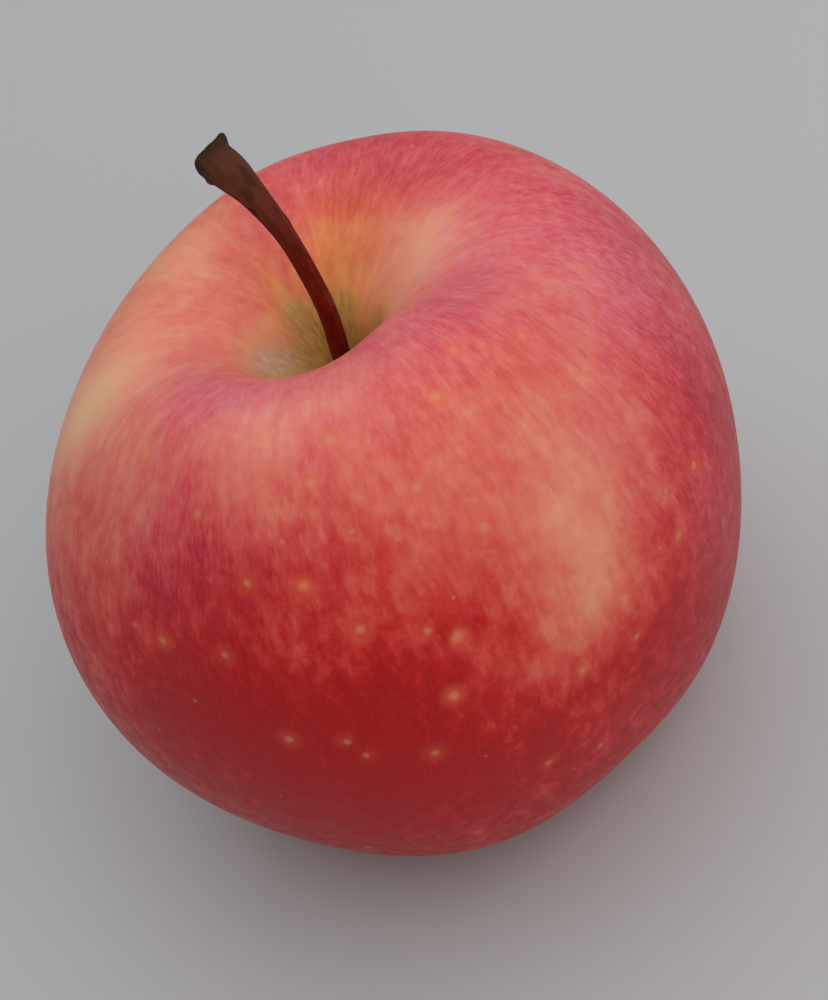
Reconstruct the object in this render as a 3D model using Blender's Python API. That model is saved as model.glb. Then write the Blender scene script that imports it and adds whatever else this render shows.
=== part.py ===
"""A royal gala apple at rest: the fruit, its woody stem, the dried sepals and the withered stamens."""
import math
from dataclasses import dataclass

import bmesh
import bpy
import numpy as np

MM = 0.001
SHARP_ANGLE = 40

# The lengths below are in millimetres. The ground is z = 0, and x = y = 0 is under the middle of the fruit.
GAP = 0.3

# The stem stands in a plain hole in the floor of the cavity and leans to one side.
STEM_LEAN_ANGLE = 120
STEM_BASE_HEIGHT = 45.9
STEM_BASE_RADIUS = 1.05
STEM_HOLE_RADIUS = STEM_BASE_RADIUS + GAP
STEM_HOLE_FLOOR = STEM_BASE_HEIGHT - GAP
# Points of its middle line, as the distance it has leaned out and its height, and its radius there.
STEM_LINE = ((0.0, STEM_BASE_HEIGHT), (-0.2, 53.4), (-0.9, 60.0), (-0.3, 65.0),
             (1.1, 69.6), (3.75, 73.25), (6.4, 75.25), (8.8, 76.15))
STEM_RADII = (STEM_BASE_RADIUS, 0.96, 0.93, 0.93, 1.0, 1.35, 1.85, 1.9)
STEM_SIDES = 24
STEM_RINGS = 56
# Knobs and dents near its end: how far along the stem, the angle round it, the height, and the half length
# and half width, with lengths along the stem as parts of its length, heights in mm and the rest in degrees.
STEM_KNOBS = (
    (1.00, -64, 0.65, 0.035, 36),
    (1.00, 55, 0.15, 0.040, 25),
    (0.92, 120, 0.22, 0.025, 35),
    (0.95, 10, -0.20, 0.030, 30),
    (0.96, 165, 0.20, 0.040, 40),
)
# The stem's last fifth widens into a broken scar. Its rim stands out or falls back along the stem: by how
# much in mm, at which angle, and the half width of that part. The middle of its face stands out too.
SCAR_START = 0.8
SCAR_RIM = ((0.05, 0, 30), (0.20, 50, 26), (-0.50, 128, 28), (0.45, -62, 20), (-0.3, -150, 40))
SCAR_RISE = 0.45

# The calyx sits in a pocket in the floor of the basin, with its sepals pointing down.
POCKET_RADIUS = 3.2
POCKET_ROOF = 9.6
CUP_FOOT = 6.4
CUP_THICKNESS = 0.8
CUP_HOLE_RADIUS = 1.75
CUP_SIDES = 40
SEPAL_COUNT = 5
SEPAL_THICKNESS = 0.7
# Points of a sepal's middle line, as distances from the calyx's middle and heights, and its half width there.
SEPAL_LINE = ((2.3, 7.4), (2.7, 5.6), (3.6, 3.9), (5.0, 2.9), (6.3, 3.1))
SEPAL_HALF_WIDTHS = (1.25, 1.5, 1.25, 0.75, 0.22)
SEPAL_ROWS = 12
SEPAL_COLUMNS = 4
STAMEN_COUNT = 7
STAMEN_RADIUS = 0.3
STAMEN_SIDES = 6
STAMEN_ROWS = 5
STAMEN_SPREAD = 0.95
STAMEN_BEND = 0.25
STAMEN_TOP = 7.4
STAMEN_LENGTH = 2.6
STAMEN_LENGTH_SPREAD = 0.4
STUB_RADIUS = 1.4
STUB_FOOT = 6.4
STUB_SIDES = 20


@dataclass
class Level:
    """A ring of the skin round one middle, in millimetres and degrees.

    The meridians pass it at its slope, where 0 is level and outward and -90 is straight down, and they
    hold that slope for a while before it and after it. Waves make the ring uneven: each one has a swell,
    a number of crests and the angle of a crest. A dip has a depth, the angle of its middle and a half width.
    """

    centre: tuple
    radius: float
    height: float
    slope: float
    before: float = 0.0
    after: float = 0.0
    radius_waves: tuple = ()
    height_waves: tuple = ()
    height_dips: tuple = ()
    slope_waves: tuple = ()


# The core grew a little askew, so the cavity, the equator and the calyx each have a middle of their own.
CAVITY_CENTRE = (0.3, 4.18)
EQUATOR_CENTRE = (0.88, 0.68)
CALYX_CENTRE = (1.8, 2.95)
LOBE_ANGLE = -31

CAVITY_FLOOR = Level(CAVITY_CENTRE, radius=STEM_HOLE_RADIUS, height=48.0, slope=72, after=3.0)
THROAT = Level(
    CAVITY_CENTRE, radius=6.8, height=57.0, slope=56, before=4.0, after=1.8,
    radius_waves=((0.6, 1, -80), (0.35, 2, 8), (1.8, 1, 175)),
    height_waves=((0.5, 1, -83),),
    slope_waves=((20, 1, -90),),
)
SHOULDER = Level(
    CAVITY_CENTRE, radius=18.9, height=63.85, slope=0, before=8.0, after=7.15,
    radius_waves=((1.3, 2, 47), (0.4, 3, 24)),
    height_waves=((2.95, 1, -73), (1.2, 2, 62), (0.85, 3, -22), (0.35, 5, 5)),
    height_dips=((3.4, -12, 33), (1.8, -140, 34), (-0.5, -85, 34), (-0.45, 38, 22),
                 (1.0, 72, 20)),
)
EQUATOR = Level(
    EQUATOR_CENTRE, radius=35.0, height=34.0, slope=-90, before=16.5, after=21.3,
    radius_waves=((0.65, 1, -161), (2.0, 2, 22), (0.35, 3, 18), (0.45, 4, 16), (0.55, 5, -34)),
)
FOOT = Level(
    CALYX_CENTRE, radius=14.3, height=0.2, slope=180, before=9.0, after=5.5,
    radius_waves=((0.5, 5, LOBE_ANGLE),),
    height_waves=((-0.5, 5, LOBE_ANGLE),),
)
BASIN_FLOOR = Level(CALYX_CENTRE, radius=POCKET_RADIUS, height=6.9, slope=178, before=4.5)

# From the stem cavity over the shoulder and down to the calyx basin, with the rows of faces between levels.
SKIN_LEVELS = (CAVITY_FLOOR, THROAT, SHOULDER, EQUATOR, FOOT, BASIN_FLOOR)
SKIN_ROWS = (6, 10, 14, 14, 10)
SKIN_COLUMNS = 72


def with_waves(middle, waves, angles):
    """A size that swells and shrinks round the fruit."""
    size = np.full(angles.shape, float(middle))
    for swell, count, crest in waves:
        size += swell * np.cos(count * (angles - math.radians(crest)))
    return size


def nearness(angles, angle, half_width):
    """How near each angle is to a given one, in degrees, from 1 there to 0 far away."""
    turn = (np.degrees(angles) - angle + 180.0) % 360.0 - 180.0
    return np.exp(-(turn / half_width) ** 2)


def level_ring(level, angles):
    """The points of one level, and the direction of the meridians there."""
    outward = np.stack([np.cos(angles), np.sin(angles), np.zeros_like(angles)], axis=-1)
    upward = np.array([0.0, 0.0, 1.0])
    radius = with_waves(level.radius, level.radius_waves, angles)
    height = with_waves(level.height, level.height_waves, angles)
    for depth, middle, half_width in level.height_dips:
        height -= depth * nearness(angles, middle, half_width)
    slope = np.radians(with_waves(level.slope, level.slope_waves, angles))
    middle = np.array([*level.centre, 0.0])
    points = middle + outward * radius[:, None] + upward * height[:, None]
    return points, outward * np.cos(slope)[:, None] + upward * np.sin(slope)[:, None]


def skin_grid(levels, columns, rows):
    """Rows of points over the whole skin, each meridian a chain of cubic curves through the levels."""
    angles = np.linspace(0.0, 2.0 * math.pi, columns, endpoint=False)
    grid = []
    for upper, lower, count in zip(levels, levels[1:], rows):
        start, start_way = level_ring(upper, angles)
        end, end_way = level_ring(lower, angles)
        leave = start + start_way * upper.after
        arrive = end - end_way * lower.before
        for t in np.arange(count) / count:
            s = 1.0 - t
            grid.append(s**3 * start + 3 * s * s * t * leave + 3 * s * t * t * arrive + t**3 * end)
    grid.append(end)
    return np.array(grid)


def smooth_line(points, count):
    """Points on a smooth curve through the given ones."""
    points = np.array(points, dtype=float)
    padded = np.vstack([2 * points[0] - points[1], points, 2 * points[-1] - points[-2]])
    line = []
    for place in np.linspace(0.0, len(points) - 1.0, count):
        k = min(int(place), len(points) - 2)
        t = place - k
        a, b, c, d = padded[k:k + 4]
        line.append(b + 0.5 * t * (c - a + t * (2 * a - 5 * b + 4 * c - d + t * (3 * (b - c) + d - a))))
    return np.array(line)


def smooth_sizes(sizes, count):
    """Sizes that run smoothly through the given ones."""
    return smooth_line([(size, 0.0) for size in sizes], count)[:, 0]


def circle(centre, radius, height, sides):
    """A level ring of points."""
    angles = np.linspace(0.0, 2.0 * math.pi, sides, endpoint=False)
    x = centre[0] + radius * np.cos(angles)
    y = centre[1] + radius * np.sin(angles)
    return np.column_stack([x, y, np.full(sides, height)])


def finished_object(name, mesh):
    """An object in the scene from an edited mesh, with its faces pointing out and its rounds smooth."""
    bmesh.ops.recalc_face_normals(mesh, faces=mesh.faces)
    data = bpy.data.meshes.new(name)
    mesh.to_mesh(data)
    mesh.free()
    data.shade_smooth()
    data.set_sharp_from_angle(angle=math.radians(SHARP_ANGLE))
    piece = bpy.data.objects.new(name, data)
    bpy.context.scene.collection.objects.link(piece)
    return piece


def closed_tube(name, rings):
    """A closed object over rings of points, its two ends closed by fans."""
    rings = np.asarray(rings) * MM
    mesh = bmesh.new()
    rows = [[mesh.verts.new(point) for point in ring] for ring in rings]
    for upper, lower in zip(rows, rows[1:]):
        for j, corner in enumerate(upper):
            mesh.faces.new((upper[j - 1], corner, lower[j], lower[j - 1]))
    for row, ring in ((rows[0], rings[0]), (rows[-1], rings[-1])):
        middle = mesh.verts.new(ring.mean(axis=0))
        for j, corner in enumerate(row):
            mesh.faces.new((row[j - 1], corner, middle))
    return finished_object(name, mesh)


def block(name, low, high):
    """A box between two corners."""
    mesh = bmesh.new()
    bmesh.ops.create_cube(mesh, size=1.0)
    low = np.array(low) * MM
    high = np.array(high) * MM
    for corner in mesh.verts:
        corner.co = (low + high) / 2 + np.array(corner.co) * (high - low)
    return finished_object(name, mesh)


def cut(piece, cutter):
    """Take the cutter's shape out of the piece, and keep the cutter as a guide."""
    step = piece.modifiers.new(cutter.name, "BOOLEAN")
    step.operation = "DIFFERENCE"
    step.solver = "EXACT"
    step.object = cutter
    cutter.hide_render = True
    cutter.display_type = "WIRE"


def join(piece, growths):
    """Fuse what grows from a piece into it, as one body."""
    group = bpy.data.collections.new(piece.name + "_growths")
    for growth in growths:
        group.objects.link(growth)
    step = piece.modifiers.new("fuse", "BOOLEAN")
    step.operation = "UNION"
    step.solver = "EXACT"
    step.operand_type = "COLLECTION"
    step.collection = group
    view = bpy.context.evaluated_depsgraph_get()
    fused = bpy.data.meshes.new_from_object(piece.evaluated_get(view))
    piece.modifiers.clear()
    piece.data = fused
    for growth in growths:
        bpy.data.objects.remove(growth)
    bpy.data.collections.remove(group)


def colour(piece, base, roughness, metallic=0.0):
    """Give a piece its own material."""
    material = bpy.data.materials.new(piece.name)
    material.use_nodes = True
    shader = material.node_tree.nodes["Principled BSDF"]
    shader.inputs["Base Color"].default_value = (*base, 1.0)
    shader.inputs["Roughness"].default_value = roughness
    shader.inputs["Metallic"].default_value = metallic
    piece.data.materials.clear()
    piece.data.materials.append(material)


def make_fruit():
    """The flesh and skin as one solid, with the stem's hole and the calyx pocket, flat under its lobes."""
    skin = skin_grid(SKIN_LEVELS, SKIN_COLUMNS, SKIN_ROWS)
    hole_floor = skin[0] * (1, 1, 0) + (0, 0, STEM_HOLE_FLOOR)
    pocket_roof = skin[-1] * (1, 1, 0) + (0, 0, POCKET_ROOF)
    fruit = closed_tube("fruit", [hole_floor, *skin, pocket_roof])
    colour(fruit, (0.56, 0.05, 0.04), roughness=0.38)
    reach = 2 * FOOT.radius
    cut(fruit, block("ground_guide", (-reach, -reach, -10), (reach, reach, 0)))


def stem_swelling(place, angles):
    """How far the stem's surface stands out at one place along it, for its knobs and dents."""
    swelling = np.zeros_like(angles)
    for along, angle, height, half_length, half_width in STEM_KNOBS:
        near = math.exp(-((place - along) / half_length) ** 2)
        swelling += height * near * nearness(angles, angle, half_width)
    return swelling


def scar_face(rim, before):
    """A ring inside the stem's last one, so that the broken end has a slightly raised face."""
    middle = rim.mean(axis=0)
    out = middle - before.mean(axis=0)
    out /= np.linalg.norm(out)
    return middle + (rim - middle) / 2 + SCAR_RISE * out


def make_stem():
    """The woody stem: it rises from the cavity, bends over and ends in a wider, knobbly scar."""
    line = smooth_line(STEM_LINE, STEM_RINGS)
    radii = smooth_sizes(STEM_RADII, STEM_RINGS)
    ways = np.gradient(line, axis=0)
    turn = math.radians(STEM_LEAN_ANGLE)
    lean = np.array([math.cos(turn), math.sin(turn), 0.0])
    across = np.array([-math.sin(turn), math.cos(turn), 0.0])
    upward = np.array([0.0, 0.0, 1.0])
    foot = np.array([*CAVITY_CENTRE, 0.0])
    angles = np.linspace(0.0, 2.0 * math.pi, STEM_SIDES, endpoint=False)
    rings = []
    for k, (reach, height) in enumerate(line):
        place = k / (STEM_RINGS - 1)
        way = ways[k] / np.linalg.norm(ways[k])
        along = lean * way[0] + upward * way[1]
        over = upward * way[0] - lean * way[1]
        radius = radii[k] + stem_swelling(place, angles)
        into_scar = max(0.0, place - SCAR_START) / (1.0 - SCAR_START)
        shift = into_scar**2 * sum(far * nearness(angles, angle, wide) for far, angle, wide in SCAR_RIM)
        middle = foot + lean * reach + upward * height
        side = np.outer(radius * np.sin(angles), across)
        front = np.outer(radius * np.cos(angles), over)
        rings.append(middle + side + front + np.outer(shift, along))
    rings.append(scar_face(rings[-1], rings[-2]))
    stem = closed_tube("stem", rings)
    colour(stem, (0.12, 0.045, 0.025), roughness=0.6)


def beside_calyx(reach, turn):
    """The place at this distance and angle from the middle of the calyx."""
    return CALYX_CENTRE[0] + reach * math.cos(turn), CALYX_CENTRE[1] + reach * math.sin(turn)


def sepal(turn):
    """One dried sepal: a thin pointed blade that hangs from the cup and curls out at its tip."""
    line = smooth_line(SEPAL_LINE, SEPAL_ROWS)
    halves = smooth_sizes(SEPAL_HALF_WIDTHS, SEPAL_ROWS)
    ways = np.gradient(line, axis=0)
    steps = np.linspace(-1.0, 1.0, SEPAL_COLUMNS + 1)
    rings = []
    for (reach, height), half, way in zip(line, halves, ways):
        thick = SEPAL_THICKNESS / 2 * np.array([-way[1], way[0]]) / np.linalg.norm(way)
        angles = turn + steps * half / reach
        inner = [(reach - thick[0], height - thick[1], angle) for angle in angles]
        outer = [(reach + thick[0], height + thick[1], angle) for angle in reversed(angles)]
        rings.append([(*beside_calyx(radius, angle), height) for radius, height, angle in inner + outer])
    return closed_tube("sepal", rings)


def make_sepals():
    """The dried calyx: a low cup in the pocket of the fruit with five sepals round its rim."""
    top = POCKET_ROOF - GAP
    ceiling = top - CUP_THICKNESS
    outside = POCKET_RADIUS - GAP
    middle = outside / 6
    profile = ((middle, top), (outside, top), (outside, CUP_FOOT),
               (CUP_HOLE_RADIUS, CUP_FOOT), (CUP_HOLE_RADIUS, ceiling), (middle, ceiling))
    rings = [circle(CALYX_CENTRE, radius, height, CUP_SIDES) for radius, height in profile]
    cup = closed_tube("sepals", rings)
    turns = [math.radians(LOBE_ANGLE) + 2.0 * math.pi * k / SEPAL_COUNT for k in range(SEPAL_COUNT)]
    join(cup, [sepal(turn) for turn in turns])
    colour(cup, (0.10, 0.06, 0.035), roughness=0.8)


def stamen(k):
    """One withered thread: the first hangs in the middle, and the others bow a little outward round it."""
    turn = 2.0 * math.pi * k / (STAMEN_COUNT - 1)
    spread = STAMEN_SPREAD if k else 0.0
    length = STAMEN_LENGTH + STAMEN_LENGTH_SPREAD * math.sin(5.0 * k)
    rings = []
    for t in np.linspace(0.0, 1.0, STAMEN_ROWS):
        reach = spread * (1.0 + STAMEN_BEND * math.sin(math.pi * t))
        centre = beside_calyx(reach, turn)
        rings.append(circle(centre, STAMEN_RADIUS, STAMEN_TOP - length * t, STAMEN_SIDES))
    return closed_tube("stamen", rings)


def make_stamens():
    """The withered stamens: a tuft of threads on one small stub in the middle of the calyx cup."""
    top = POCKET_ROOF - GAP - CUP_THICKNESS - GAP
    rings = [circle(CALYX_CENTRE, STUB_RADIUS, height, STUB_SIDES) for height in (top, STUB_FOOT)]
    stub = closed_tube("stamens", rings)
    join(stub, [stamen(k) for k in range(STAMEN_COUNT)])
    colour(stub, (0.05, 0.03, 0.02), roughness=0.85)


def main():
    for old in list(bpy.data.objects):
        bpy.data.objects.remove(old)
    make_fruit()
    make_stem()
    make_sepals()
    make_stamens()


main()
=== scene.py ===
"""The looks of a royal gala apple: waxy streaked skin, a woody stem and a dried calyx, on a pale floor."""
import math
from dataclasses import dataclass

import bmesh
import bpy
import numpy as np
from mathutils import Matrix, Vector


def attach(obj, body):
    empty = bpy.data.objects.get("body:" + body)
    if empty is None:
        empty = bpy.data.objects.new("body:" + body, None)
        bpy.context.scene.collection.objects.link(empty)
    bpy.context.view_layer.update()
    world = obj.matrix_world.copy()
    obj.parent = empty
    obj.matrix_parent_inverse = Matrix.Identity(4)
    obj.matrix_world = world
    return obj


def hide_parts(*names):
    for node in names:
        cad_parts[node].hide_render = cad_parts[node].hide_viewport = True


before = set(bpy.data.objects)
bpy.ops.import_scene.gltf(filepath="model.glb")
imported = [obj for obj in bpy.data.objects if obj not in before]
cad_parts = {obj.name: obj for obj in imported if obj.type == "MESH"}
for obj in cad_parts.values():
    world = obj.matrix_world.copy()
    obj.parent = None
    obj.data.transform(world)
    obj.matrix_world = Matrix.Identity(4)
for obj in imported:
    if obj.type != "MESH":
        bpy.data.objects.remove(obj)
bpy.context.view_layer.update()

MM = 0.001

# Lengths are in millimetres and angles in degrees, in the frame of the solids: the ground is z = 0.
# An angle of 0 is the fruit's right side, -90 its front and 90 its back.
GAP = 0.3
STEM_LEAN_ANGLE = 120
STEM_BASE_HEIGHT = 45.9
STEM_BASE_RADIUS = 1.05
STEM_HOLE_RADIUS = STEM_BASE_RADIUS + GAP
STEM_HOLE_FLOOR = STEM_BASE_HEIGHT - GAP
STEM_LINE = ((0.0, STEM_BASE_HEIGHT), (-0.2, 53.4), (-0.9, 60.0), (-0.3, 65.0),
             (1.1, 69.6), (3.75, 73.25), (6.4, 75.25), (8.8, 76.15))
STEM_RADII = (STEM_BASE_RADIUS, 0.96, 0.93, 0.93, 1.0, 1.35, 1.85, 1.9)
# Knobs and dents of the stem: how far along it, the angle round it, the height, and the half length and half
# width, with lengths along the stem as parts of its length, heights in mm and the rest in degrees.
STEM_KNOBS = (
    (1.00, -64, 0.65, 0.035, 36),
    (1.00, 55, 0.15, 0.040, 25),
    (0.92, 120, 0.22, 0.025, 35),
    (0.95, 10, -0.20, 0.030, 30),
    (0.96, 165, 0.20, 0.040, 40),
    (0.60, -60, 0.08, 0.020, 60),
    (0.33, 60, 0.06, 0.020, 60),
)
# The stem's last fifth widens into a broken scar. Its rim stands out or falls back along the stem: by how
# much in mm, at which angle, and the half width of that part.
SCAR_START = 0.8
SCAR_RIM = ((0.05, 0, 30), (0.20, 50, 26), (-0.50, 128, 28), (0.45, -62, 20), (-0.3, -150, 40))
SCAR_RISE = 0.45
STEM_ROWS = 200
STEM_SIDES = 72
POCKET_RADIUS = 3.2
POCKET_ROOF = 9.6
LOBE_ANGLE = -31


@dataclass
class Level:
    """A ring of the skin round one middle, in millimetres and degrees.

    The meridians pass it at its slope, where 0 is level and outward and -90 is straight down, and they
    hold that slope for a while before it and after it. Waves make the ring uneven: each one has a swell,
    a number of crests and the angle of a crest. A dip has a depth, the angle of its middle and a half width.
    """

    centre: tuple
    radius: float
    height: float
    slope: float
    before: float = 0.0
    after: float = 0.0
    radius_waves: tuple = ()
    height_waves: tuple = ()
    height_dips: tuple = ()
    slope_waves: tuple = ()


CAVITY_CENTRE = (0.3, 4.18)
EQUATOR_CENTRE = (0.88, 0.68)
CALYX_CENTRE = (1.8, 2.95)

CAVITY_FLOOR = Level(CAVITY_CENTRE, radius=STEM_HOLE_RADIUS, height=48.0, slope=72, after=3.0)
THROAT = Level(
    CAVITY_CENTRE, radius=6.8, height=57.0, slope=56, before=4.0, after=1.8,
    radius_waves=((0.6, 1, -80), (0.35, 2, 8), (1.8, 1, 175)),
    height_waves=((0.5, 1, -83),),
    slope_waves=((20, 1, -90),),
)
SHOULDER = Level(
    CAVITY_CENTRE, radius=18.9, height=63.85, slope=0, before=8.0, after=7.15,
    radius_waves=((1.3, 2, 47), (0.4, 3, 24)),
    height_waves=((2.95, 1, -73), (1.2, 2, 62), (0.85, 3, -22), (0.35, 5, 5)),
    height_dips=((3.4, -12, 33), (1.8, -140, 34), (-0.5, -85, 34), (-0.45, 38, 22),
                 (1.0, 72, 20)),
)
EQUATOR = Level(
    EQUATOR_CENTRE, radius=35.0, height=34.0, slope=-90, before=16.5, after=21.3,
    radius_waves=((0.65, 1, -161), (2.0, 2, 22), (0.35, 3, 18), (0.45, 4, 16), (0.55, 5, -34)),
)
FOOT = Level(
    CALYX_CENTRE, radius=14.3, height=0.2, slope=180, before=9.0, after=5.5,
    radius_waves=((0.5, 5, LOBE_ANGLE),),
    height_waves=((-0.5, 5, LOBE_ANGLE),),
)
BASIN_FLOOR = Level(CALYX_CENTRE, radius=POCKET_RADIUS, height=6.9, slope=178, before=4.5)

# From the stem cavity over the shoulder and down to the calyx basin, with the rows of faces between levels.
SKIN_LEVELS = (CAVITY_FLOOR, THROAT, SHOULDER, EQUATOR, FOOT, BASIN_FLOOR)
SKIN_ROWS = (26, 42, 76, 84, 42)
SKIN_COLUMNS = 360
SHOULDER_LEVEL = 2.0

# What makes the skin's redness uneven: the angle and level of a patch's middle, its half width and half
# length in millimetres, and how much red it adds. Level 1 is the throat, 2 the shoulder, 3 the equator
# and 4 the foot.
BLUSH_PATCHES = (
    (178, 2.25, 7, 9, -0.89),
    (122, 2.03, 10, 6, -0.50),
    (140, 3.00, 18, 22, -1.38),
    (157, 2.62, 8, 8, -0.50),
    (113, 0.81, 6, 6, 0.60),
    (50, 2.05, 20, 8, 0.63),
    (58, 1.88, 6, 6, 0.40),
    (-2, 2.50, 12, 10, 0.44),
    (-22, 2.40, 6, 6, -0.35),
    (12, 1.68, 6, 6, -0.78),
    (-137, 1.75, 8, 5, 0.30),
    (-133, 2.12, 5, 6, 0.14),
    (-42, 1.92, 8, 6, 0.13),
    (-15, 2.10, 7, 5, -0.13),
    (-54, 2.52, 9, 11, -0.41),
    (-64, 2.80, 8, 9, -0.90),
    (-70, 2.87, 6, 5, -0.55),
    (-68, 2.65, 5, 4, -0.25),
    (-88, 2.41, 5, 5, -0.28),
    (-62, 2.06, 6, 5, 0.32),
    (-101, 2.90, 6, 6, 0.45),
    (-35, 2.93, 5, 8, -0.20),
    (-87, 2.87, 6, 6, -0.75),
    (-146, 2.32, 6, 8, -0.34),
    (-140, 2.49, 6, 6, 0.41),
    (-132, 2.61, 6, 10, 0.70),
    (-120, 2.14, 5, 8, -0.41),
    (-96, 1.99, 8, 4, -0.20),
    (-112, 2.48, 9, 8, 0.44),
    (-112, 2.85, 22, 10, 1.05),
    (-110, 3.10, 18, 9, 0.60),
    (-106, 2.71, 6, 6, 0.22),
    (-148, 2.72, 10, 9, 0.18),
    (-31, 2.72, 7, 12, 0.12),
    (-18, 2.82, 6, 10, 0.60),
    (-42, 3.12, 14, 8, 0.30),
    (-83, 3.07, 3, 3, 0.20),
)
# How red the skin is at each level, before those patches.
BLUSH_OF_LEVELS = ((0.0, 0.05), (0.9, 0.30), (1.12, 0.50), (1.35, 0.75), (1.62, 0.90), (2.0, 1.0),
                   (2.3, 1.05), (2.6, 1.20), (2.8, 1.60), (3.0, 2.05), (3.3, 2.10), (3.6, 1.6),
                   (4.0, 0.8), (4.5, 0.15), (5.0, 0.05))
# Where the skin has its pale bloom of wax, with painted sheen where the soft light glances off it: the same
# numbers, and how much more of both there is.
WAX_AND_SHEEN_PATCHES = (
    (30, 2.10, 24, 14, 0.52),
    (79, 2.11, 12, 8, 0.40),
    (-5, 2.50, 12, 12, 0.88),
    (-22, 2.42, 7, 7, 0.29),
    (-42, 1.94, 9, 6, 0.34),
    (-8, 1.60, 8, 8, 0.45),
    (-52, 2.57, 8, 8, 0.42),
    (-135, 1.75, 9, 6, 0.95),
    (-90, 2.00, 14, 6, 0.45),
    (-111, 2.36, 8, 8, 0.14),
    (-20, 2.95, 6, 14, 0.24),
    (-36, 2.92, 6, 10, 0.40),
    (-140, 2.35, 9, 10, 0.44),
    (175, 2.14, 14, 14, 0.46),
    (170, 0.78, 3, 3, 1.70),
    (66, 1.50, 7, 6, -0.30),
)
WAX_AND_SHEEN_ELSEWHERE = 0.04
# Where the skin round the cavity is more golden or greener, or less: the same numbers.
GREEN_PATCHES = (
    (66, 1.40, 6, 6, 0.50),
    (116, 1.30, 3, 4, 0.40),
    (25, 0.85, 3, 3, -0.35),
    (140, 0.92, 3, 3, -0.25),
)
# How green the skin is at each level, before those patches.
GREEN_OF_LEVELS = ((0.0, 1.0), (0.7, 1.0), (0.9, 0.80), (1.05, 0.42), (1.3, 0.15), (1.8, 0.0),
                   (4.0, 0.0), (4.4, 0.6), (5.0, 0.95))
# In the cavity and the basin the meridians run together, so the streaks have another pattern there, whose
# marks are as wide as outside: its scale across and along them, against the scale outside, and how far each
# level belongs there.
FUNNEL_SCALE_ACROSS = 0.3
FUNNEL_SCALE_ALONG = 1.3
FUNNEL_OF_LEVELS = ((1.3, 1.0), (1.85, 0.0), (4.1, 0.0), (4.5, 1.0))
# The lenticels that stand out: angle, level and radius in millimetres.
LARGE_LENTICELS = (
    (-73.0, 2.20, 0.46), (-99.0, 2.14, 0.42), (-85.5, 2.37, 0.40), (-61.0, 2.12, 0.38),
    (-44.5, 2.24, 0.36), (-111.0, 2.49, 0.42), (-121.0, 2.48, 0.36), (-104.0, 2.61, 0.38),
    (-94.0, 2.66, 0.34), (-89.5, 2.70, 0.50), (-94.0, 2.82, 0.44), (-77.5, 2.52, 0.44),
    (-139.5, 2.64, 0.38), (-128.0, 2.64, 0.32), (-121.0, 2.84, 0.36), (-112.5, 2.85, 0.34),
    (-110.0, 2.90, 0.32), (-100.0, 2.93, 0.34), (-73.0, 2.95, 0.40), (-61.0, 2.99, 0.34),
    (-45.0, 2.88, 0.40), (-33.5, 2.81, 0.38), (-147.0, 2.18, 0.36), (-130.5, 2.32, 0.34),
    (-105.0, 2.25, 0.36), (-83.5, 3.11, 0.34), (-74.5, 3.18, 0.34),
)
# The small lenticels are strewn between two levels, fewer where the skin is narrow, each with room round it.
# A halo fades out at its edge and where the next lenticel is nearly as close.
LENTICEL_COUNT = 260
LENTICEL_TRIES = 20000
LENTICEL_LEVELS = (1.35, 4.2)
LENTICEL_LEVEL_STEPS = 400
SMALL_LENTICEL_RADII = (0.14, 0.30)
LENTICEL_ROOM = 3.0
LENTICEL_HALO = 1.9
HALO_FADE = 0.3
LENTICEL_APART = 1.0
SEED = 11

# The scales of the skin's patterns: across and along the meridians for the first four, the same all round
# for the rest. Then how much they change the redness.
BROAD_SCALES = (0.11, 0.05)
STRIPE_SCALES = (0.60, 0.20)
FINE_SCALES = (1.5, 0.45)
FLECK_SCALES = (2.4, 0.90)
PATCHY_SCALE = 300.0
MOTTLE_SCALE = 700.0
GRAIN_SCALE = 2600.0
BROAD_SWING = (0.92, 1.12)
STRIPE_SWING = (-0.13, 0.15)
PATCHY_SWING = (-0.11, 0.11)
FINE_SWING = (-0.03, 0.03)
MOTTLE_SWING = (-0.09, 0.09)
FLECK_PALENESS = 0.06
# Most of a pattern's values lie between these two.
PATTERN_LOW = 0.3
PATTERN_HIGH = 0.7
# The skin's colour from no blush to full blush.
FULL_BLUSH = 2.6
BLUSH_COLOURS = (
    (0.00, (0.88, 0.50, 0.24)),
    (0.15, (0.85, 0.33, 0.17)),
    (0.30, (0.79, 0.18, 0.105)),
    (0.45, (0.72, 0.088, 0.060)),
    (0.60, (0.645, 0.036, 0.026)),
    (0.78, (0.54, 0.006, 0.005)),
    (1.00, (0.45, 0.001, 0.001)),
)
DARK_OLIVE = (0.38, 0.185, 0.030)
PALE_OLIVE = (0.50, 0.270, 0.065)
PALE_GOLD = (0.84, 0.31, 0.060)
DEEP_GOLD = (0.70, 0.21, 0.040)
HALO_COLOUR = (0.80, 0.15, 0.060)
LENTICEL_COLOUR = (0.72, 0.31, 0.165)
# Painted sheen: these pale pink and grey-green colours of the wax bloom also stand for the soft light
# glancing off the skin.
WAX_AND_SHEEN_ON_RED = (0.74, 0.27, 0.39)
WAX_AND_SHEEN_ON_GREEN = (0.58, 0.42, 0.35)
SPECK_COLOUR = (0.80, 0.42, 0.36)
# From which radius to which a lenticel's halo and core grow stronger, and from what to what.
HALO_STRENGTHS = (0.20, 0.5, 0.0, 0.55)
CORE_STRENGTHS = (0.15, 0.45, 0.35, 0.48)
HALO_START = 0.2
CORE_EDGE = (0.25, 1.75)
SKIN_ROUGHNESS = (0.36, 0.46)
SKIN_GLOSS = 0.24
SKIN_RELIEF = 0.05

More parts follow.
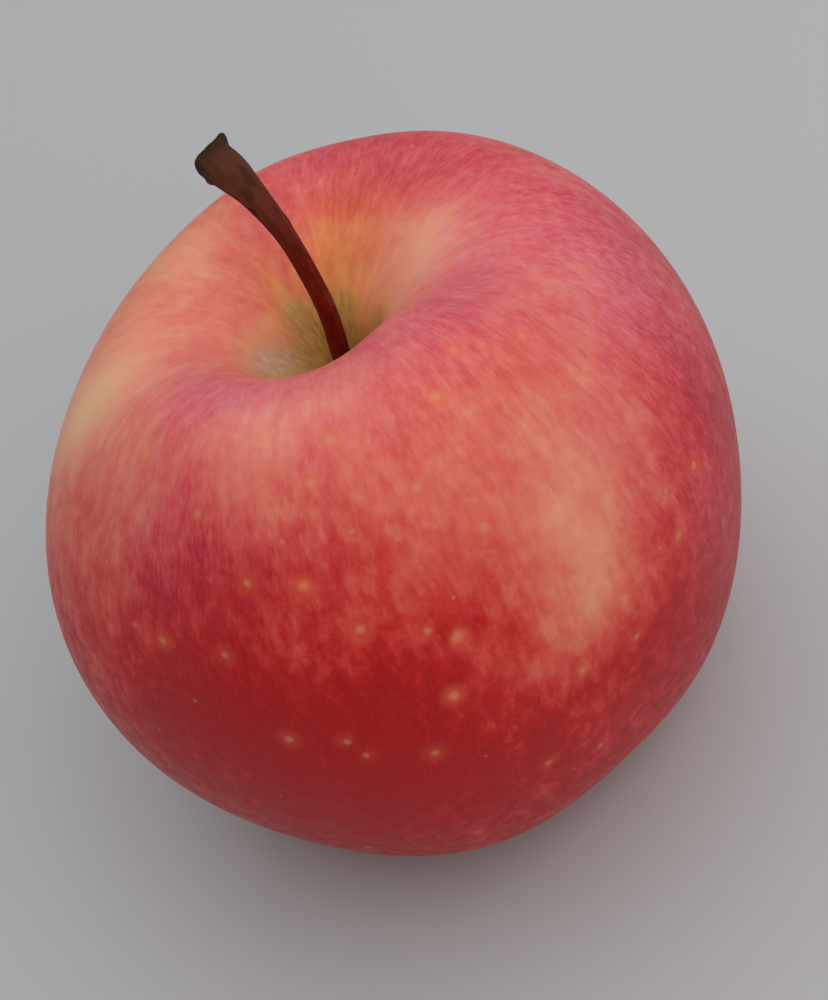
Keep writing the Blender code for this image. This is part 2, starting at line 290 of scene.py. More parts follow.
# The bark's colours from the stem's base to its end, and its fine ridges.
BARK_COLOURS = (
    (0.0, (0.170, 0.007, 0.003)),
    (0.45, (0.150, 0.009, 0.004)),
    (0.62, (0.125, 0.016, 0.007)),
    (0.78, (0.125, 0.036, 0.016)),
    (0.90, (0.085, 0.028, 0.012)),
    (1.0, (0.034, 0.013, 0.007)),
)
WORN_BARK = (0.28, 0.100, 0.050)
DARK_BARK = (0.024, 0.005, 0.003)
FIBRE_SCALES = (1.6, 1.6, 0.30)
BLOTCH_SCALES = (0.8, 0.8, 0.45)
BARK_ROUGHNESS = (0.55, 0.8)
BARK_GLOSS = 0.10
BARK_RELIEF = 0.15
RIDGE_WAVES = 8
RIDGE_COUNTS = (4, 12)
RIDGE_TWIST = 9.0
RIDGE_HEIGHT = 0.015
# The scar's face: its rings as parts of its rim, and its three lumps.
SCAR_RINGS = (0.95, 0.82, 0.6, 0.35, 0.12)
SCAR_LUMPS = 3
SCAR_LUMP_HEIGHT = 0.12
SCAR_LUMP_TWIST = 9

# The dried calyx in its pocket, as in the solids.
CUP_FOOT = 6.4
CUP_THICKNESS = 0.8
CUP_HOLE_RADIUS = 1.75
SEPAL_COUNT = 5
SEPAL_LINE = ((2.3, 7.4), (2.7, 5.6), (3.6, 3.9), (5.0, 2.9), (6.3, 3.1))
SEPAL_HALF_WIDTHS = (1.25, 1.5, 1.25, 0.75, 0.16)
SEPAL_THICKNESS = 0.66
SEPAL_ROWS = 60
SEPAL_COLUMNS = 20
# A sepal's crumpled edges: how high, how many half waves and how slanted. Then how it is cupped, how thin its
# edges are, its midrib, and how much the five differ.
SEPAL_CRUMPLE = 0.16
SEPAL_RIPPLES = 6.5
SEPAL_SLANT = 2.0
SEPAL_CUPPING = 0.45
SEPAL_THINNING = 0.55
MIDRIB_HEIGHT = 0.18
MIDRIB_HALF_WIDTH = 0.12
SEPAL_PHASES = (0.0, 6.0)
SEPAL_CURLS = (-0.6, 1.0)
HAIRS_PER_SEPAL = 170
HAIR_RADIUS = 0.035
HAIR_FIRST_ROW = 4
HAIR_LAST_ROWS = 3
HAIR_OUTWARD = (0.5, 0.9)
HAIR_ALONG = (0.2, 0.9)
HAIR_STRAY = 0.3
HAIR_LENGTHS = (0.25, 0.6)
HAIR_ROOT = 0.05
HAIR_DROOP = 0.1
HAIR_TAPER = 0.8
HAIR_RINGS = (0.0, 0.5, 0.9)
HAIR_SIDES = 3
CUP_SIDES = 48
END_RADIUS = 0.3
DRY_ROUGHNESS = 0.85
DRY_GLOSS = 0.2
DRY_RELIEF = 0.1
STUB_RADIUS = 1.4
STUB_EDGE = 0.3
STUB_SIDES = 40
STAMEN_COUNT = 7
STAMEN_SPREAD = 0.95
STAMEN_BEND = 0.25
STAMEN_TOP = 7.4
STAMEN_LENGTH = 2.6
STAMEN_LENGTH_SPREAD = 0.4
STAMEN_RADIUS = 0.2
STAMEN_TAPER = 0.35
STAMEN_SWAY = 0.12
STAMEN_ROWS = 24
STAMEN_SIDES = 12
ANTHER_RADIUS = 0.3
ANTHER_PLACE = 0.88
ANTHER_HALF_LENGTH = 0.09

# The floor, its grey, and the place in metres that the lights point at.
FLOOR_REACH = 1.5
FLOOR_GREY = 0.50
FLOOR_ROUGHNESS = 0.7
LIGHT_AIM = (0.0, 0.0, 0.03)
ROOM_COLOUR = (0.95, 0.97, 1.0, 1.0)
ROOM_BRIGHTNESS = 0.30

# The camera's eye in millimetres, how steeply it looks down, how the picture is turned, and its lens.
CAMERA_EYE = (1.739, -169.189, 215.676)
CAMERA_ELEVATION = 47.0
CAMERA_ROLL = -21.82
CAMERA_LENS = 85.93
NEAREST_VISIBLE = 0.01


def with_waves(middle, waves, angles):
    """A size that swells and shrinks round the fruit."""
    size = np.full(angles.shape, float(middle))
    for swell, count, crest in waves:
        size += swell * np.cos(count * (angles - math.radians(crest)))
    return size


def nearness(angles, angle, half_width):
    """How near each angle is to a given one, in degrees, from 1 there to 0 far away."""
    turn = (np.degrees(angles) - angle + 180.0) % 360.0 - 180.0
    return np.exp(-(turn / half_width) ** 2)


def level_ring(level, angles):
    """The points of one level, and the direction of the meridians there."""
    outward = np.stack([np.cos(angles), np.sin(angles), np.zeros_like(angles)], axis=-1)
    upward = np.array([0.0, 0.0, 1.0])
    radius = with_waves(level.radius, level.radius_waves, angles)
    height = with_waves(level.height, level.height_waves, angles)
    for depth, middle, half_width in level.height_dips:
        height -= depth * nearness(angles, middle, half_width)
    slope = np.radians(with_waves(level.slope, level.slope_waves, angles))
    middle = np.array([*level.centre, 0.0])
    points = middle + outward * radius[:, None] + upward * height[:, None]
    return points, outward * np.cos(slope)[:, None] + upward * np.sin(slope)[:, None]


def skin_grid(levels, columns, rows):
    """Rows of points over the whole skin, each meridian a chain of cubic curves through the levels."""
    angles = np.linspace(0.0, 2.0 * math.pi, columns, endpoint=False)
    grid = [level_ring(levels[0], angles)[0] * (1, 1, 0) + (0, 0, STEM_HOLE_FLOOR)]
    places = [0.0]
    for k, (upper, lower, count) in enumerate(zip(levels, levels[1:], rows)):
        start, start_way = level_ring(upper, angles)
        end, end_way = level_ring(lower, angles)
        leave = start + start_way * upper.after
        arrive = end - end_way * lower.before
        for t in np.arange(count) / count:
            s = 1.0 - t
            grid.append(s**3 * start + 3 * s * s * t * leave + 3 * s * t * t * arrive + t**3 * end)
            places.append(k + t)
    grid.extend((end, end * (1, 1, 0) + (0, 0, POCKET_ROOF)))
    places.extend((len(levels) - 1.0, len(levels) - 1.0))
    return np.array(grid), np.array(places), np.degrees(angles)


@dataclass
class Skin:
    """The skin as a grid of points, with the level of each row, the angle of each column and more."""

    points: np.ndarray
    levels: np.ndarray
    angles: np.ndarray
    along: np.ndarray
    spread: np.ndarray

    def spot(self, angle, level):
        """The row and column of the grid that are nearest to a place."""
        row = int(np.argmin(np.abs(self.levels - level)))
        column = int(round(angle / 360.0 * len(self.angles))) % len(self.angles)
        return row, column

    def closeness(self, angle, level, half_width, half_length):
        """How near each point is to a place, from 1 there to 0 far away, by lengths along the skin."""
        row, column = self.spot(angle, level)
        turn = np.radians((self.angles - self.angles[column] + 180.0) % 360.0 - 180.0)
        sideways = turn[None, :] * self.spread
        lengthways = self.along - self.along[row, column]
        return np.exp(-(sideways / half_width) ** 2 - (lengthways / half_length) ** 2)


def make_skin():
    """The skin's grid, with the length along each meridian and the radius round the core at each point."""
    points, levels, angles = skin_grid(SKIN_LEVELS, SKIN_COLUMNS, SKIN_ROWS)
    points[..., 2] = np.maximum(points[..., 2], 0.0)
    steps = np.linalg.norm(np.diff(points, axis=0), axis=-1)
    along = np.vstack([np.zeros(len(angles)), np.cumsum(steps, axis=0)])
    along -= along[np.argmin(np.abs(levels - SHOULDER_LEVEL))]
    middle = np.array(EQUATOR_CENTRE)
    spread = np.linalg.norm(points[..., :2] - middle, axis=-1)
    return Skin(points, levels, angles, along, spread)


def amounts_by_level(skin, amounts_of_levels):
    """An amount at each point that depends on its level alone."""
    levels, amounts = zip(*amounts_of_levels)
    return np.repeat(np.interp(skin.levels, levels, amounts)[:, None], len(skin.angles), axis=1)


def add_patches(skin, amount, patches):
    """Change an amount in round patches of the skin."""
    for angle, level, half_width, half_length, change in patches:
        amount += change * skin.closeness(angle, level, half_width, half_length)
    return amount


def blush(skin):
    """How red the skin is at each point: least in the cavity, most below the equator."""
    amount = amounts_by_level(skin, BLUSH_OF_LEVELS)
    return np.maximum(add_patches(skin, amount, BLUSH_PATCHES), 0.0)


def wax_and_sheen(skin):
    """How much pale bloom of wax there is at each point, with painted sheen where the light glances off it.
    """
    amount = np.full(skin.spread.shape, WAX_AND_SHEEN_ELSEWHERE)
    return np.maximum(add_patches(skin, amount, WAX_AND_SHEEN_PATCHES), 0.0)


def greenness(skin):
    """How green the skin is at each point: most in the cavity and in the basin."""
    amount = amounts_by_level(skin, GREEN_OF_LEVELS)
    return np.clip(add_patches(skin, amount, GREEN_PATCHES), 0.0, 1.0)


def strewn_lenticels(skin):
    """The places and radii of all lenticels: the large ones, and small ones at random between them."""
    draw = np.random.default_rng(SEED)
    chosen = [(skin.points[skin.spot(angle, level)], radius) for angle, level, radius in LARGE_LENTICELS]
    levels = np.linspace(*LENTICEL_LEVELS, LENTICEL_LEVEL_STEPS)
    tries = 0
    while len(chosen) < LENTICEL_COUNT and tries < LENTICEL_TRIES:
        tries += 1
        level = draw.choice(levels)
        row, column = skin.spot(draw.uniform(0.0, 360.0), level)
        if draw.uniform() > skin.spread[row, column] / EQUATOR.radius:
            continue
        place = skin.points[row, column]
        if all(np.linalg.norm(place - other) > LENTICEL_ROOM for other, _ in chosen):
            chosen.append((place, draw.uniform(*SMALL_LENTICEL_RADII)))
    return np.array([place for place, _ in chosen]), np.array([radius for _, radius in chosen])


def lenticels(skin):
    """For each point its nearest lenticel: where that is and its radius, and how near the point is to it."""
    places, radii = strewn_lenticels(skin)
    flat = skin.points.reshape(-1, 3)
    nearest = np.zeros(len(flat), dtype=int)
    least = np.full(len(flat), np.inf)
    second = np.full(len(flat), np.inf)
    for k, place in enumerate(places):
        distance = np.linalg.norm(flat - place, axis=-1)
        closer = distance < least
        second = np.where(closer, least, np.minimum(second, distance))
        nearest[closer] = k
        least[closer] = distance[closer]
    reach = np.clip((LENTICEL_HALO - least) / HALO_FADE + 1.0, 0.0, 1.0)
    reach *= np.clip((second - least - LENTICEL_APART) / LENTICEL_APART, 0.0, 1.0)
    return places[nearest] * MM, radii[nearest], reach


def ring_faces(count, sides):
    """The faces between rings of points, and the fans that close the first and the last ring."""
    i, j = np.meshgrid(np.arange(count - 1), np.arange(sides), indexing="ij")
    after = (j + 1) % sides
    here = i * sides
    below = here + sides
    quads = np.stack([here + j, below + j, below + after, here + after], axis=-1).reshape(-1, 4)
    k = np.arange(sides)
    low = (count - 1) * sides
    top = np.stack([k, (k + 1) % sides, np.full(sides, count * sides)], axis=-1)
    bottom = np.stack([low + (k + 1) % sides, low + k, np.full(sides, count * sides + 1)], axis=-1)
    return quads.tolist() + top.tolist() + bottom.tolist()


def ring_map(count, sides):
    """The place of each face corner on the texture map, in the order of the faces."""
    i, j = np.meshgrid(np.arange(count - 1), np.arange(sides), indexing="ij")
    u = np.stack([j, j, j + 1, j + 1], axis=-1).reshape(-1, 4) / sides
    v = np.stack([i, i + 1, i + 1, i], axis=-1).reshape(-1, 4) / (count - 1)
    k = np.arange(sides)
    fan_u = np.stack([k, k + 1, k + 0.5], axis=-1) / sides
    fan_top = np.stack([fan_u, np.zeros_like(fan_u)], axis=-1)
    fan_bottom = np.stack([fan_u[:, [1, 0, 2]], np.ones_like(fan_u)], axis=-1)
    corners = np.concatenate([np.stack([u, v], axis=-1).reshape(-1, 2), fan_top.reshape(-1, 2),
                              fan_bottom.reshape(-1, 2)])
    corners[:, 1] = 1.0 - corners[:, 1]
    return corners


def grid_mesh(name, rows):
    """A mesh over rings of points, with a texture map that follows the rings, its ends closed by fans."""
    rows = np.asarray(rows)
    count, sides = rows.shape[:2]
    points = np.vstack([rows.reshape(-1, 3), rows[0].mean(axis=0), rows[-1].mean(axis=0)]) * MM
    mesh = bpy.data.meshes.new(name)
    mesh.from_pydata(points.tolist(), [], ring_faces(count, sides))
    layer = mesh.uv_layers.new(name="OFBake")
    layer.data.foreach_set("uv", ring_map(count, sides).ravel())
    mesh.shade_smooth()
    mesh.update()
    return mesh


def add_numbers(mesh, name, values):
    """Store one number at each point of a mesh."""
    store = mesh.attributes.new(name, "FLOAT", "POINT")
    values = np.asarray(values, dtype=float).ravel()
    padded = np.zeros(len(mesh.vertices))
    padded[:len(values)] = values
    store.data.foreach_set("value", padded)


def add_vectors(mesh, name, values):
    """Store one vector at each point of a mesh."""
    store = mesh.attributes.new(name, "FLOAT_VECTOR", "POINT")
    values = np.asarray(values, dtype=float).reshape(-1, 3)
    padded = np.zeros((len(mesh.vertices), 3))
    padded[:len(values)] = values
    store.data.foreach_set("vector", padded.ravel())


class Nodes:
    """A short way to write a material's nodes."""

    def __init__(self, name):
        self.material = bpy.data.materials.new(name)
        self.material.use_nodes = True
        self.tree = self.material.node_tree
        self.shader = self.tree.nodes["Principled BSDF"]

    def feed(self, socket, value):
        """Link an output to a socket, or set a plain value there."""
        if isinstance(value, bpy.types.NodeSocket):
            self.tree.links.new(value, socket)
        else:
            socket.default_value = value

    def number(self, name):
        """A number stored at the mesh's points."""
        node = self.tree.nodes.new("ShaderNodeAttribute")
        node.attribute_name = name
        return node.outputs["Fac"]

    def vector(self, name):
        """A vector stored at the mesh's points."""
        node = self.tree.nodes.new("ShaderNodeAttribute")
        node.attribute_name = name
        return node.outputs["Vector"]

    def place(self):
        """The place on the object."""
        return self.tree.nodes.new("ShaderNodeTexCoord").outputs["Object"]

    def math(self, operation, a, b):
        """A sum, difference, product or quotient of two numbers."""
        node = self.tree.nodes.new("ShaderNodeMath")
        node.operation = operation
        self.feed(node.inputs[0], a)
        self.feed(node.inputs[1], b)
        return node.outputs[0]

    def scaled(self, vector, factors):
        """A vector stretched by its own factor in each direction."""
        node = self.tree.nodes.new("ShaderNodeVectorMath")
        node.operation = "MULTIPLY"
        self.feed(node.inputs[0], vector)
        node.inputs[1].default_value = factors
        return node.outputs[0]

    def distance(self, a, b):
        """How far two places are apart."""
        node = self.tree.nodes.new("ShaderNodeVectorMath")
        node.operation = "DISTANCE"
        self.feed(node.inputs[0], a)
        self.feed(node.inputs[1], b)
        return node.outputs["Value"]

    def noise(self, vector, scale, detail=2.0, roughness=0.5):
        """A cloudy pattern."""
        node = self.tree.nodes.new("ShaderNodeTexNoise")
        self.feed(node.inputs["Vector"], vector)
        node.inputs["Scale"].default_value = scale
        node.inputs["Detail"].default_value = detail
        node.inputs["Roughness"].default_value = roughness
        return node.outputs["Fac"]

    def span(self, value, low, high, start=0.0, end=1.0):
        """The value's way from low to high, as a smooth run from start to end."""
        node = self.tree.nodes.new("ShaderNodeMapRange")
        node.interpolation_type = "SMOOTHSTEP"
        self.feed(node.inputs["Value"], value)
        for socket, number in (("From Min", low), ("From Max", high), ("To Min", start), ("To Max", end)):
            self.feed(node.inputs[socket], number)
        return node.outputs["Result"]

    def swing(self, pattern, start, end):
        """A pattern's usual range, as a smooth run from start to end."""
        return self.span(pattern, PATTERN_LOW, PATTERN_HIGH, start, end)

    def ramp(self, value, stops):
        """A colour for each value, from the stops' places and colours."""
        node = self.tree.nodes.new("ShaderNodeValToRGB")
        self.feed(node.inputs["Fac"], value)
        points = node.color_ramp.elements
        while len(points) < len(stops):
            points.new(1.0)
        for point, (place, colour) in zip(points, stops):
            point.position = place
            point.color = (*colour, 1.0)
        return node.outputs["Color"]

    def mix(self, factor, a, b):
        """A colour between two others."""
        node = self.tree.nodes.new("ShaderNodeMix")
        node.data_type = "RGBA"
        self.feed(node.inputs["Factor"], factor)
        for socket, colour in ((node.inputs["A"], a), (node.inputs["B"], b)):
            self.feed(socket, colour if isinstance(colour, bpy.types.NodeSocket) else (*colour, 1.0))
        return node.outputs["Result"]

    def bump(self, height, strength, distance):
        """Fine relief on the surface."""
        node = self.tree.nodes.new("ShaderNodeBump")
        self.feed(node.inputs["Height"], height)
        node.inputs["Strength"].default_value = strength
        node.inputs["Distance"].default_value = distance
        self.tree.links.new(node.outputs["Normal"], self.shader.inputs["Normal"])


def along_skin(n, across, along, detail=2.0, roughness=0.5):
    """A pattern drawn out along the meridians, with marks as wide in the cavity and basin as outside."""
    streaks = n.vector("streaks")
    outside = n.noise(n.scaled(streaks, (across, across, along)), 1.0, detail, roughness)
    narrow = across * FUNNEL_SCALE_ACROSS
    funnel_scales = (narrow, narrow, along * FUNNEL_SCALE_ALONG)
    inside = n.noise(n.scaled(streaks, funnel_scales), 1.0, detail, roughness)
    change = n.math("MULTIPLY", n.number("funnel"), n.math("SUBTRACT", inside, outside))
    return n.math("ADD", outside, change)


def redness(n, stripes, fine, flecks, mottle):
    """How red the skin is, from 0 to 1: its blush, made uneven by bands, stripes, blotches and flecks."""
    broad = along_skin(n, *BROAD_SCALES)
    patchy = n.noise(n.place(), PATCHY_SCALE)
    swing = n.math("ADD", n.swing(broad, *BROAD_SWING), n.swing(stripes, *STRIPE_SWING))
    swing = n.math("ADD", swing, n.swing(patchy, *PATCHY_SWING))
    swing = n.math("ADD", swing, n.swing(fine, *FINE_SWING))
    swing = n.math("ADD", swing, n.swing(mottle, *MOTTLE_SWING))
    fleck = n.span(flecks, 0.42, 0.72)
    swing = n.math("SUBTRACT", swing, n.math("MULTIPLY", fleck, FLECK_PALENESS))
    red = n.math("MULTIPLY", n.number("blush"), swing)
    return n.math("MULTIPLY", red, 1.0 / FULL_BLUSH)


def lenticel_marks(n):
    """A lenticel's halo and core, and how strongly the core shows."""
    away = n.distance(n.place(), n.vector("lenticel"))
    size = n.number("lenticel_radius")
    close = n.number("lenticel_reach")
    halo = n.math("MULTIPLY", n.span(away, HALO_START * MM, LENTICEL_HALO * MM, 1.0, 0.0), close)
    halo = n.math("MULTIPLY", halo, n.span(size, *HALO_STRENGTHS))
    inside = n.math("DIVIDE", away, n.math("MULTIPLY", size, MM))
    core = n.math("MULTIPLY", n.span(inside, *CORE_EDGE, 1.0, 0.0), close)
    return halo, core, n.math("MULTIPLY", core, n.span(size, *CORE_STRENGTHS))


def with_green(n, skin, stripes, fine):
    """The skin's colour turned to gold and olive in the cavity and the basin."""
    olive = n.mix(n.span(fine, 0.35, 0.65), DARK_OLIVE, PALE_OLIVE)
    golden = n.mix(n.span(stripes, 0.35, 0.65), PALE_GOLD, DEEP_GOLD)
    green = n.mix(n.span(n.number("green"), 0.40, 1.05), golden, olive)
    amount = n.math("MULTIPLY", n.number("green"), n.swing(stripes, 1.2, 0.8))
    return n.mix(amount, skin, green)


def with_wax_and_sheen(n, skin, flecks, halo):
    """The skin's colour under its bloom of wax and painted sheen, thicker on the flecks and thinner round
    lenticels.
    """
    wax_and_sheen_amount = n.math("MULTIPLY", n.number("wax_and_sheen"), n.span(flecks, 0.35, 0.70, 0.17, 0.42))
    wax_and_sheen_colour = n.mix(n.number("green"), WAX_AND_SHEEN_ON_RED, WAX_AND_SHEEN_ON_GREEN)
    return n.mix(n.math("MULTIPLY", wax_and_sheen_amount, n.span(halo, 0.0, 0.5, 1.0, 0.4)), skin, wax_and_sheen_colour)


def skin_material():
    """Yellow under a red blush in broken streaks, with pale flecks, a bloom of wax with painted sheen, and
    lenticels.
    """
    n = Nodes("apple_skin")
    stripes = along_skin(n, *STRIPE_SCALES, detail=3.0, roughness=0.6)
    fine = along_skin(n, *FINE_SCALES, roughness=0.6)
    flecks = along_skin(n, *FLECK_SCALES, detail=1.0)
    mottle = n.noise(n.place(), MOTTLE_SCALE)
    grain = n.noise(n.place(), GRAIN_SCALE, detail=1.0)
    halo, core, core_strength = lenticel_marks(n)

    skin = n.ramp(redness(n, stripes, fine, flecks, mottle), BLUSH_COLOURS)
    skin = with_green(n, skin, stripes, fine)
    skin = n.mix(halo, skin, HALO_COLOUR)
    # Painted sheen of the soft light, laid into the colour together with the wax bloom.
    skin = with_wax_and_sheen(n, skin, flecks, halo)
    skin = n.mix(n.span(grain, 0.45, 0.75, 0.0, 0.02), skin, SPECK_COLOUR)
    skin = n.mix(core_strength, skin, LENTICEL_COLOUR)

    n.feed(n.shader.inputs["Base Color"], skin)
    n.feed(n.shader.inputs["Roughness"], n.swing(mottle, *SKIN_ROUGHNESS))
    n.shader.inputs["Specular IOR Level"].default_value = SKIN_GLOSS
    n.bump(n.math("ADD", n.math("MULTIPLY", mottle, 0.6), core), 0.25, SKIN_RELIEF * MM)
    return n.material


def make_fruit():
    """The skin as one fine closed surface, with what its material needs stored at its points."""
    skin = make_skin()
    mesh = grid_mesh("apple_skin", skin.points)
    angles = np.radians(skin.angles)
    round_core = np.stack([np.cos(angles), np.sin(angles)], axis=-1) * EQUATOR.radius
    sideways = np.broadcast_to(round_core, (*skin.points.shape[:2], 2))
    add_vectors(mesh, "streaks", np.concatenate([sideways, skin.along[..., None]], axis=-1))
    add_numbers(mesh, "blush", blush(skin))
    add_numbers(mesh, "wax_and_sheen", wax_and_sheen(skin))
    add_numbers(mesh, "green", greenness(skin))
    add_numbers(mesh, "funnel", amounts_by_level(skin, FUNNEL_OF_LEVELS))
    places, radii, reach = lenticels(skin)
    add_vectors(mesh, "lenticel", places)
    add_numbers(mesh, "lenticel_radius", radii)
    add_numbers(mesh, "lenticel_reach", reach)
    mesh.materials.append(skin_material())
    show(mesh, "fruit")


def show(mesh, node):
    """Put a mesh in the scene as the piece that stands for a node of the solids."""
    piece = bpy.data.objects.new(mesh.name, mesh)
    bpy.context.scene.collection.objects.link(piece)
    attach(piece, "root")
    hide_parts(node)
    return piece


def smooth_line(points, count):
    """Points on a smooth curve through the given ones."""
    points = np.array(points, dtype=float)
    padded = np.vstack([2 * points[0] - points[1], points, 2 * points[-1] - points[-2]])
    line = []
    for place in np.linspace(0.0, len(points) - 1.0, count):
        k = min(int(place), len(points) - 2)
        t = place - k
        a, b, c, d = padded[k:k + 4]
        line.append(b + 0.5 * t * (c - a + t * (2 * a - 5 * b + 4 * c - d + t * (3 * (b - c) + d - a))))
    return np.array(line)


def smooth_sizes(sizes, count):
    """Sizes that run smoothly through the given ones."""
    return smooth_line([(size, 0.0) for size in sizes], count)[:, 0]


def stem_material():
    """Dry red-brown bark with fibres along it, paler where it is worn."""
    n = Nodes("apple_stem")
    fibres = n.vector("fibres")
    fine = n.noise(n.scaled(fibres, FIBRE_SCALES), 1.0, detail=4.0, roughness=0.65)
    blotches = n.noise(n.scaled(fibres, BLOTCH_SCALES), 1.0, detail=3.0)
    base = n.ramp(n.number("height"), BARK_COLOURS)
    worn = n.mix(n.span(fine, 0.48, 0.72, 0.0, 0.30), base, WORN_BARK)
    dark = n.mix(n.span(blotches, 0.48, 0.70, 0.0, 0.65), worn, DARK_BARK)
    n.feed(n.shader.inputs["Base Color"], dark)
    n.feed(n.shader.inputs["Roughness"], n.swing(fine, *BARK_ROUGHNESS))
    n.shader.inputs["Specular IOR Level"].default_value = BARK_GLOSS
    n.bump(n.math("ADD", fine, blotches), 0.5, BARK_RELIEF * MM)
    return n.material


def stem_ridges():
    """The bark's fine ridges: for each wave how many crests it has, where it starts and how it twists."""
    draw = np.random.default_rng(SEED)
    ridges = []
    for _ in range(RIDGE_WAVES):
        count = draw.integers(*RIDGE_COUNTS)
        start = draw.uniform(0.0, 2.0 * math.pi)
        ridges.append((count, start, draw.uniform(-RIDGE_TWIST, RIDGE_TWIST)))
    return ridges


def stem_swelling(place, angles, ridges):
    """How far the stem's surface stands out at one place along it, for its ridges, knobs and dents."""
    waves = [np.cos(count * angles + start + twist * place) for count, start, twist in ridges]
    swelling = sum(RIDGE_HEIGHT * wave for wave in waves)
    for along, angle, height, half_length, half_width in STEM_KNOBS:
        near = math.exp(-((place - along) / half_length) ** 2)
        swelling = swelling + height * near * nearness(angles, angle, half_width)
    return swelling


def scar_shift(place, angles):
    """How far the stem's uneven end is shifted along it at one place, round the ring."""
    into_scar = max(0.0, place - SCAR_START) / (1.0 - SCAR_START)
    return into_scar**2 * sum(far * nearness(angles, angle, wide) for far, angle, wide in SCAR_RIM)


def stem_rings(line, angles):
    """The rings of the stem, from its foot in the cavity to the scar's rim."""
    radii = smooth_sizes(STEM_RADII, STEM_ROWS)
    ways = np.gradient(line, axis=0)
    turn = math.radians(STEM_LEAN_ANGLE)
    lean = np.array([math.cos(turn), math.sin(turn), 0.0])
    across = np.array([-math.sin(turn), math.cos(turn), 0.0])
    upward = np.array([0.0, 0.0, 1.0])
    foot = np.array([*CAVITY_CENTRE, 0.0])
    ridges = stem_ridges()
    rings = []
    for k, (reach, height) in enumerate(line):
        place = k / (STEM_ROWS - 1)
        way = ways[k] / np.linalg.norm(ways[k])
        along = lean * way[0] + upward * way[1]
        over = upward * way[0] - lean * way[1]
        radius = radii[k] + stem_swelling(place, angles, ridges)
        middle = foot + lean * reach + upward * height
        round_stem = np.outer(radius * np.sin(angles), across) + np.outer(radius * np.cos(angles), over)
        rings.append(middle + round_stem + np.outer(scar_shift(place, angles), along))
    return rings


def make_stem():
    """The stem: it rises from the cavity, bends over and ends in a wider, knobbly scar."""
    line = smooth_line(STEM_LINE, STEM_ROWS)
    angles = np.linspace(0.0, 2.0 * math.pi, STEM_SIDES, endpoint=False)
    rings = stem_rings(line, angles)
    rings.extend(scar_face(rings[-1], rings[-2]))
    mesh = grid_mesh("apple_stem", rings)
    places = np.minimum(np.arange(len(rings)) / (STEM_ROWS - 1), 1.0)
    fibres = np.empty((len(rings), STEM_SIDES, 3))
    fibres[..., :2] = np.stack([np.cos(angles), np.sin(angles)], axis=-1) * STEM_BASE_RADIUS
    fibres[..., 2] = np.concatenate([line[:, 1], np.full(len(rings) - STEM_ROWS, line[-1, 1])])[:, None]
    add_vectors(mesh, "fibres", fibres)
    add_numbers(mesh, "height", np.repeat(places, STEM_SIDES))
    mesh.materials.append(stem_material())
    show(mesh, "stem")


def scar_face(rim, before):
    """Rings that close the stem's end with a rough, slightly raised face."""
    middle = rim.mean(axis=0)
    out = middle - before.mean(axis=0)
    out /= np.linalg.norm(out)
    angles = np.linspace(0.0, 2.0 * math.pi, len(rim), endpoint=False)
    face = []
    for part in SCAR_RINGS:
        lumps = SCAR_LUMP_HEIGHT * np.cos(SCAR_LUMPS * angles + SCAR_LUMP_TWIST * part) * part
        rise = SCAR_RISE * (1.0 - part**2) + lumps
        face.append(middle + (rim - middle) * part + np.outer(rise, out))
    return face


def dry_material(name, dark, pale, scale):
    """A dull dry skin, mottled from dark to pale."""
    n = Nodes(name)
    grain = n.noise(n.place(), scale, detail=4.0, roughness=0.65)
    broad = n.noise(n.place(), scale * 0.2, detail=2.0)
    mixed = n.math("ADD", n.math("MULTIPLY", grain, 0.6), n.math("MULTIPLY", broad, 0.4))
    n.feed(n.shader.inputs["Base Color"], n.mix(n.span(mixed, 0.38, 0.62), dark, pale))
    n.shader.inputs["Roughness"].default_value = DRY_ROUGHNESS
    n.shader.inputs["Specular IOR Level"].default_value = DRY_GLOSS
    n.bump(grain, 0.6, DRY_RELIEF * MM)
    return n.material


def beside_calyx(reach, turn):
    """The place at this distance and angle from the middle of the calyx."""
    return CALYX_CENTRE[0] + reach * math.cos(turn), CALYX_CENTRE[1] + reach * math.sin(turn)


def sepal_rings(turn, phase, curl):
    """Rings round one dried sepal: a thin blade with a midrib and crumpled edges, curled out at its tip."""
    line = smooth_line(SEPAL_LINE, SEPAL_ROWS)
    halves = smooth_sizes(SEPAL_HALF_WIDTHS, SEPAL_ROWS)
    ways = np.gradient(line, axis=0)
    steps = np.linspace(-1.0, 1.0, SEPAL_COLUMNS + 1)
    midrib = 1.0 + MIDRIB_HEIGHT * np.exp(-(steps / MIDRIB_HALF_WIDTH) ** 2)
    thick = SEPAL_THICKNESS / 2 * (1.0 - SEPAL_THINNING * steps**2) * midrib
    rings = []
    for k, ((reach, height), half, way) in enumerate(zip(line, halves, ways)):
        t = k / (SEPAL_ROWS - 1)
        normal = np.array([-way[1], way[0]]) / np.linalg.norm(way)
        ripple = np.sin(SEPAL_RIPPLES * math.pi * t + SEPAL_SLANT * steps + phase)
        crumple = SEPAL_CRUMPLE * t * ripple * np.abs(steps)
        cupping = curl * t * steps**2 * SEPAL_CUPPING
        turns = turn + steps * half / reach
        ring = []
        for side, order in ((-1.0, slice(None)), (1.0, slice(None, None, -1))):
            off = crumple + cupping + side * thick
            for offset, angle in zip(off[order], turns[order]):
                x, y = beside_calyx(reach + offset * normal[0], angle)
                ring.append((x, y, height + offset * normal[1]))
        rings.append(ring)
    return np.array(rings)


